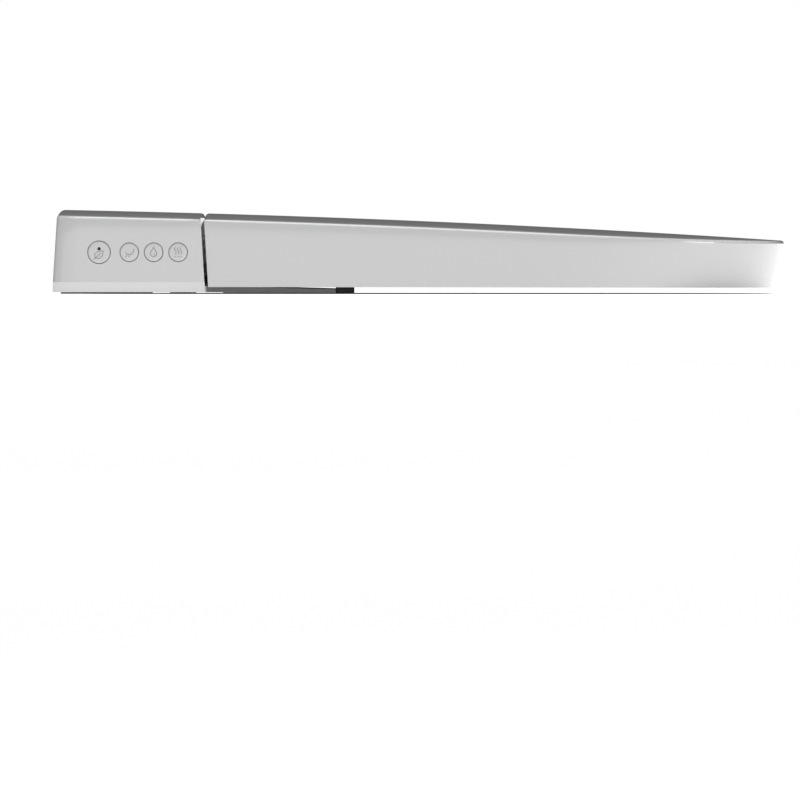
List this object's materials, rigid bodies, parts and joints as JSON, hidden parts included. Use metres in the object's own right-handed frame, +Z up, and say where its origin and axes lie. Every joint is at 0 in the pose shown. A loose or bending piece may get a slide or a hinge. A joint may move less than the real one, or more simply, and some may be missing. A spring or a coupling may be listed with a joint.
{
  "type": "electric bidet seat",
  "caption": "Slim wedge-shaped electric bidet seat with a D-shaped lid, heated ring, rear unit with side push buttons, telescopic nozzle and slide-on mounting plate.",
  "frame": {"origin": "centre of the bounding box at its bottom, on the surface the seat rests on", "axes": "+Z up, +Y towards the rear casing, -Y towards the front tip of the lid, -X towards the side with the push buttons"},
  "size_m": [0.3796, 0.5495, 0.0631],
  "materials": {
    "white_plastic": "gloss",
    "base_plastic": "satin",
    "button_plastic": "gloss",
    "grey_plastic": "satin",
    "dark_plastic": "satin",
    "bush_plastic": "satin",
    "nozzle_plastic": "gloss",
    "filter_plastic": "satin",
    "rubber": "matt",
    "buffer_rubber": "matt",
    "hose_rubber": "satin",
    "steel": "brushed",
    "nozzle_steel": "polished",
    "brass": "machined",
    "aluminium_foil": "foil",
    "circuit_board": "satin",
    "black_component": "satin",
    "mica": "matt",
    "carbon_filter": "matt",
    "dark_lens": "gloss",
    "clear_lens": "gloss"
  },
  "bodies": {
    "mount_plate": {"mounting_plate": "dark_plastic", "plate_pads": "rubber"},
    "main_unit": {"base_tray": "base_plastic", "rear_feet": "rubber", "base_bumpers": "rubber", "top_casing": "white_plastic", "casing_screws": "steel", "hinge_brackets": "base_plastic", "hinge_pins": "steel", "ring_damper": "dark_plastic", "lid_damper": "dark_plastic", "control_board": "circuit_board", "tact_switches": "black_component", "main_board": "circuit_board", "board_parts": "black_component", "power_supply": "black_component", "cord_gland": "rubber", "inlet_fitting": "brass", "inlet_filter": "filter_plastic", "solenoid_valve": "grey_plastic", "flow_sensor": "grey_plastic", "heater_tank": "grey_plastic", "vacuum_breaker": "grey_plastic", "selector_valve": "grey_plastic", "water_hoses": "hose_rubber", "blower_housing": "grey_plastic", "blower_motor": "steel", "dryer_duct": "grey_plastic", "dryer_heater": "mica", "outlet_grille": "base_plastic", "filter_guide": "grey_plastic", "fan_housing": "black_component", "nozzle_cradle": "grey_plastic", "nozzle_motor": "steel", "sensor_window": "dark_lens", "night_light": "clear_lens"},
    "ring": {"ring_top_shell": "white_plastic", "ring_bottom_plate": "base_plastic", "ring_screws": "steel", "ring_heater": "aluminium_foil", "ring_bushes": "bush_plastic"},
    "lid": {"lid_shell": "white_plastic", "lid_bushes": "bush_plastic", "lid_buffers": "buffer_rubber"},
    "nozzle_stage_1": {"nozzle_outer": "nozzle_steel"},
    "nozzle_stage_2": {"nozzle_inner": "nozzle_steel", "nozzle_tip": "nozzle_plastic", "nozzle_shield": "nozzle_plastic"},
    "nozzle_gear": {"nozzle_pinion": "bush_plastic"},
    "blower_rotor": {"blower_wheel": "dark_plastic"},
    "deodoriser_rotor": {"fan_rotor": "dark_plastic"},
    "filter": {"filter_drawer": "white_plastic", "filter_element": "carbon_filter"},
    "stop_button": {"button_stop": "button_plastic", "led_lens": "dark_lens"},
    "wash_button": {"button_wash": "button_plastic"},
    "rinse_button": {"button_rinse": "button_plastic"},
    "dry_button": {"button_dry": "button_plastic"}
  },
  "joints": [
    {"name": "unit_slide", "type": "slide", "parent": "mount_plate", "child": "main_unit", "axis": [0, -1, 0], "range_m": [0, 0.08]},
    {"name": "ring_hinge", "type": "hinge", "parent": "main_unit", "child": "ring", "pos_m": [0, 0.15156, 0.04938], "axis": [-1, 0, 0], "range_deg": [0, 95]},
    {"name": "lid_hinge", "type": "hinge", "parent": "ring", "child": "lid", "pos_m": [0, 0.15156, 0.04938], "axis": [1, 0, 0], "range_deg": [-98, 0]},
    {"name": "nozzle_extend", "type": "slide", "parent": "main_unit", "child": "nozzle_stage_1", "axis": [0, -0.9781, -0.2079], "range_m": [0, 0.05]},
    {"name": "nozzle_extend_2", "type": "slide", "parent": "nozzle_stage_1", "child": "nozzle_stage_2", "axis": [0, -0.9781, -0.2079], "range_m": [0, 0.05]},
    {"name": "pinion_spin", "type": "hinge", "parent": "main_unit", "child": "nozzle_gear", "pos_m": [0, 0.18022, 0.03442], "axis": [-1, 0, 0], "range_deg": [0, 478]},
    {"name": "blower_spin", "type": "hinge", "parent": "main_unit", "child": "blower_rotor", "pos_m": [-0.13, 0.222, 0.025], "axis": [0, 0, 1], "continuous": true},
    {"name": "fan_spin", "type": "hinge", "parent": "main_unit", "child": "deodoriser_rotor", "pos_m": [0.116, 0.196, 0.028], "axis": [1, 0, 0], "continuous": true},
    {"name": "filter_slide", "type": "slide", "parent": "main_unit", "child": "filter", "axis": [1, 0, 0], "range_m": [0, 0.06]},
    {"name": "stop_press", "type": "slide", "parent": "main_unit", "child": "stop_button", "axis": [1, 0, 0], "range_m": [0, 0.001], "stiffness_N_per_m": 1500, "springref_m": -0.0003},
    {"name": "wash_press", "type": "slide", "parent": "main_unit", "child": "wash_button", "axis": [1, 0, 0], "range_m": [0, 0.001], "stiffness_N_per_m": 1500, "springref_m": -0.0003},
    {"name": "rinse_press", "type": "slide", "parent": "main_unit", "child": "rinse_button", "axis": [1, 0, 0], "range_m": [0, 0.001], "stiffness_N_per_m": 1500, "springref_m": -0.0003},
    {"name": "dry_press", "type": "slide", "parent": "main_unit", "child": "dry_button", "axis": [1, 0, 0], "range_m": [0, 0.001], "stiffness_N_per_m": 1500, "springref_m": -0.0003}
  ],
  "couplings": [
    {"joint": "nozzle_extend_2", "follows": "nozzle_extend", "ratio": 1},
    {"joint": "pinion_spin", "follows": "nozzle_extend", "rad_per_m": 166.67}
  ]
}
